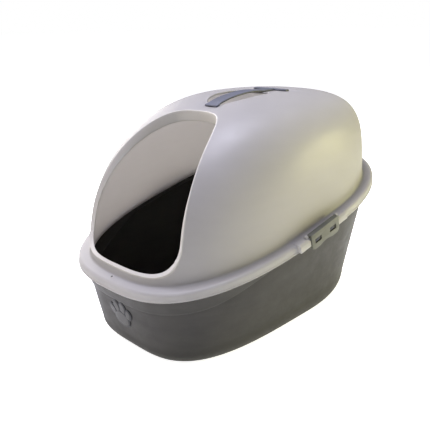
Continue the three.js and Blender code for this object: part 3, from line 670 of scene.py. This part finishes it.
# catches on the tray's rim, seen through the clips' windows
for out, side in ((1, "right"), (-1, "left")):
    for u, place in ((-WINDOW_SPREAD, "front"), (WINDOW_SPREAD, "rear")):
        # The hood lifts straight up off a sloping rim, so its notch drifts rearward past the catch.
        front = u - WINDOW_HALF + WINDOW_HIGH * RIM_SLOPE + CATCH_CLEAR
        high = WINDOW_HIGH - CATCH_CLEAR
        low = high - CATCH_HEIGHT
        section = ((193, low + 1.6), (200, low + 2.2), (200, high), (193, high))
        sections = [[rim_point(out, x, v, w) for x, v in section] for w in (front, front + CATCH_LENGTH)]
        o = prism(f"catch_{side}_{place}", *sections)
        soften(o, 0.6, 3, 30)
        finish_piece(o, "tray_body", M_TRAY, 40)
        # Black plate behind each clip window: painted shadow standing for the dark gap seen through the
        # window.
        corners = ((u - 8, -4.5), (u + 12.7, -4.5), (u + 12.7, 9), (u - 8, 9))
        sections = [[rim_point(out, x, v, w) for w, v in corners] for x in (194.6, 196.0)]
        o = prism(f"catch_seat_{side}_{place}", *sections)
        soften(o, 0.2, 2, 30)
        finish_piece(o, "tray_body", M_BLACK_PRINT_AND_SHADE, 40)

# ------------------------------------------------------------------ clips: the CAD shape, edges rounded
for side in ("left", "right"):
    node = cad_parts["clip_" + side]
    me = node.data.copy()
    bm = bmesh.new()
    bm.from_mesh(me)
    bmesh.ops.remove_doubles(bm, verts=bm.verts, dist=1e-6)
    bmesh.ops.dissolve_limit(bm, angle_limit=math.radians(2), verts=bm.verts, edges=bm.edges)
    bm.to_mesh(me)
    bm.free()
    o = bpy.data.objects.new(f"clip_{side}_moulding", me)
    bpy.context.scene.collection.objects.link(o)
    soften(o, 0.45, 3, 28)
    finish_piece(o, f"clip_{side}_body", M_CLIP_PAINTED_SIDELIGHT, 40, ("clip_" + side,))


# ------------------------------------------------------------------ grip
def plate(cx, cy, hx, hy, thick, lift, edge=1.4, corner=3.0, step=1.0):
    """A thin rounded bar lying on the dome."""
    nu, nv = max(8, int(2 * hx / step)), max(8, int(2 * hy / step))
    u = np.sin(np.linspace(-math.pi / 2, math.pi / 2, nu)) * 0.35 + np.linspace(-1, 1, nu) * 0.65
    v = np.sin(np.linspace(-math.pi / 2, math.pi / 2, nv)) * 0.35 + np.linspace(-1, 1, nv) * 0.65
    U, V = np.meshgrid(u, v, indexing="ij")
    pull = corner / min(hx, hy)
    X = cx + hx * U * (1 - 0.10 * np.abs(V) ** 14 * pull)
    Y = cy + hy * V * (1 - 0.10 * np.abs(U) ** 14 * pull)
    d = -box_distance(X, Y, cx, cy, hx, hy, 0.01)
    k = np.clip(1 - d / edge, 0, 1)
    drop = edge * (1 - np.sqrt(np.maximum(0, 1 - k * k)))
    base = dome_height(X, Y) - GRIP_SUNK + lift(X, Y)
    top = np.stack([X, Y, base + thick - drop], 2).reshape(-1, 3)
    low = np.stack([X, Y, base + drop * 0.6], 2).reshape(-1, 3)
    verts = np.concatenate([top, low])
    count = nu * nv
    faces = []
    for i in range(nu - 1):
        for j in range(nv - 1):
            a, b, c, e = i * nv + j, i * nv + j + 1, (i + 1) * nv + j + 1, (i + 1) * nv + j
            faces.append((a, b, c, e))
            faces.append((count + e, count + c, count + b, count + a))
    ring = [i * nv for i in range(nu)] + [(nu - 1) * nv + j for j in range(1, nv)]
    ring += [i * nv + nv - 1 for i in range(nu - 2, -1, -1)] + [j for j in range(nv - 2, 0, -1)]
    for k in range(len(ring)):
        a, b = ring[k], ring[(k + 1) % len(ring)]
        faces.append((a, b, count + b, count + a))
    return verts, faces


def bow(x, y):
    t = np.clip((y - HOLE_FRONT_Y) / (HOLE_REAR_Y - HOLE_FRONT_Y), 0, 1)
    return GAP + 2.0 * (1 - (2 * t - 1) ** 4)


mid = (GRIP_FRONT_Y + GRIP_REAR_Y) / 2
verts, faces = plate(0, mid, GRIP_HALF, (GRIP_REAR_Y - GRIP_FRONT_Y) / 2, GRIP_THICK, bow)
mesh_object("grip_strip", verts, faces, "hood_body", M_GRIP_PAINTED_SKYLIGHT, 60, ("carry_handle",))
verts, faces = plate(0, GRIP_REAR_Y - GRIP_BAR_LENGTH / 2, GRIP_BAR_HALF, GRIP_BAR_LENGTH / 2, GRIP_THICK,
                     lambda x, y: bow(x, y) - 0.12)
mesh_object("grip_cross_bar", verts, faces, "hood_body", M_GRIP_PAINTED_SKYLIGHT, 60)
verts, faces = plate(0, GRIP_FRONT_Y + GRIP_TOE_LENGTH / 2, GRIP_TOE_HALF, GRIP_TOE_LENGTH / 2, GRIP_THICK,
                     lambda x, y: bow(x, y) - 0.18)
mesh_object("grip_toe", verts, faces, "hood_body", M_GRIP_PAINTED_SKYLIGHT, 60)


# ------------------------------------------------------------------ paw badge on the tray's front
def badge_point(u, v, w):
    z = BADGE_Z + v
    share = z / rim_z(FRONT_Y + 30)
    s = tray_size(share, 0)
    y = WIDEST_Y - s["front"] * (1 - abs(u / s["side"]) ** s["nf"]) ** (1 / s["nf"])
    return [u, y - w, z + 0.2 * w]


def blobs(grow):
    k = BADGE_PAD
    made = [(0, -0.55 * k, 1.2 * k, 0.95 * k, 0.0)]
    for side in (-1, 1):
        made.append((side * 0.5 * k, 0.85 * k, 0.5 * k, 0.72 * k, -side * 0.12))
        made.append((side * 1.25 * k, 0.25 * k, 0.46 * k, 0.66 * k, -side * 0.45))
    return [(cx, cy, rx + grow, ry + grow, turn) for cx, cy, rx, ry, turn in made]


def badge_layer(name, grow, w0, w1, mat):
    verts, faces = [], []
    for cx, cy, rx, ry, turn in blobs(grow):
        levels = [(0.97, w0), (1.0, w0 + 0.1), (1.0, w1 - 0.35), (0.96, w1 - 0.1), (0.9, w1), (0.6, w1),
                  (0.3, w1)]
        t = np.linspace(0, 2 * math.pi, 48, endpoint=False)
        rings = []
        for scale, w in levels:
            ring = []
            for a in t:
                x, y = rx * scale * math.cos(a), ry * scale * math.sin(a)
                u = cx + x * math.cos(turn) - y * math.sin(turn)
                v = cy + x * math.sin(turn) + y * math.cos(turn)
                ring.append(badge_point(u, v, w))
            rings.append(ring)
        rings = [[badge_point(cx, cy, w0)]] + rings + [[badge_point(cx, cy, w1)]]
        vs, fs = loft(rings)
        fs = [tuple(i + len(verts) for i in f) for f in fs]
        verts.extend(vs.tolist())
        faces.extend(fs)
    return mesh_object(name, verts, faces, "tray_body", mat, 40,
                       ("paw_badge",) if name == "paw_badge_backing" else ())


badge_layer("paw_badge_backing", 1.6, 0.1, 1.5, M_BLACK_PRINT_AND_SHADE)
badge_layer("paw_badge_pads", -1.6, 0.9, 2.0, M_PAD)

# ------------------------------------------------------------------ stage, light and camera
floor_mat = bpy.data.materials.new("pale_floor")
floor_mat.use_nodes = True
fb = floor_mat.node_tree.nodes["Principled BSDF"]
fb.inputs["Base Color"].default_value = (0.93, 0.93, 0.93, 1)
fb.inputs["Roughness"].default_value = 0.9
fb.inputs["Emission Color"].default_value = (1, 1, 1, 1)
fb.inputs["Emission Strength"].default_value = 0.90
bpy.ops.mesh.primitive_plane_add(size=80.0, location=(0, 0, -0.0006))
floor = bpy.context.object
floor.name = "floor"
floor.data.materials.append(floor_mat)

world = bpy.data.worlds.new("studio")
bpy.context.scene.world = world
world.use_nodes = True
wn = world.node_tree
wn.nodes["Background"].inputs["Color"].default_value = (0.80, 0.84, 1.0, 1)
wn.nodes["Background"].inputs["Strength"].default_value = 0.14
white = wn.nodes.new("ShaderNodeBackground")
white.inputs["Color"].default_value = (1, 1, 1, 1)
white.inputs["Strength"].default_value = 1.0
path = wn.nodes.new("ShaderNodeLightPath")
pick = wn.nodes.new("ShaderNodeMixShader")
wn.links.new(path.outputs["Is Camera Ray"], pick.inputs["Fac"])
wn.links.new(wn.nodes["Background"].outputs["Background"], pick.inputs[1])
wn.links.new(white.outputs["Background"], pick.inputs[2])
wn.links.new(pick.outputs["Shader"], wn.nodes["World Output"].inputs["Surface"])


def area(name, where, target, size, power, colour):
    lamp = bpy.data.lights.new(name, "AREA")
    lamp.shape = "RECTANGLE"
    lamp.size, lamp.size_y = size
    lamp.energy = power
    lamp.color = colour
    o = bpy.data.objects.new(name, lamp)
    bpy.context.scene.collection.objects.link(o)
    o.location = where
    o.rotation_euler = (Vector(target) - Vector(where)).to_track_quat("-Z", "Y").to_euler()


area("top_box", (-0.3, -0.1, 2.2), (0, 0.0, 0.3), (1.2, 1.2), 82, (0.83, 0.83, 1.0))
area("right_box", (1.7, 1.9, 0.65), (0, 0.1, 0.22), (0.9, 0.9), 62, (1.0, 0.95, 0.45))
area("front_left_box", (-1.9, -2.0, 0.6), (0, -0.15, 0.15), (1.0, 0.9), 21, (1.0, 0.86, 0.74))
area("left_box", (-2.0, 0.3, 0.9), (0, 0.0, 0.3), (1.4, 1.2), 42, (1.0, 0.95, 0.90))

# camera at the photograph's angle
AZ, EL, ROLL = math.radians(45.426), math.radians(18.522), math.radians(-1.027)
right = Vector((math.cos(AZ), math.sin(AZ), 0))
back = Vector((math.sin(AZ) * math.cos(EL), -math.cos(AZ) * math.cos(EL), math.sin(EL)))
upv = back.cross(right)
r2 = right * math.cos(ROLL) + upv * math.sin(ROLL)
u2 = upv * math.cos(ROLL) - right * math.sin(ROLL)
cam = bpy.data.objects.new("camera", bpy.data.cameras.new("camera"))
bpy.context.scene.collection.objects.link(cam)
cam.data.lens = 47.6958
cam.data.sensor_width = 36
cam.data.clip_start = 0.05
cam.matrix_world = Matrix(((r2.x, u2.x, back.x, 0.6775), (r2.y, u2.y, back.y, -0.7134),
                           (r2.z, u2.z, back.z, 0.5047), (0, 0, 0, 1)))
bpy.context.scene.camera = cam
bpy.context.scene.view_settings.view_transform = "Standard"
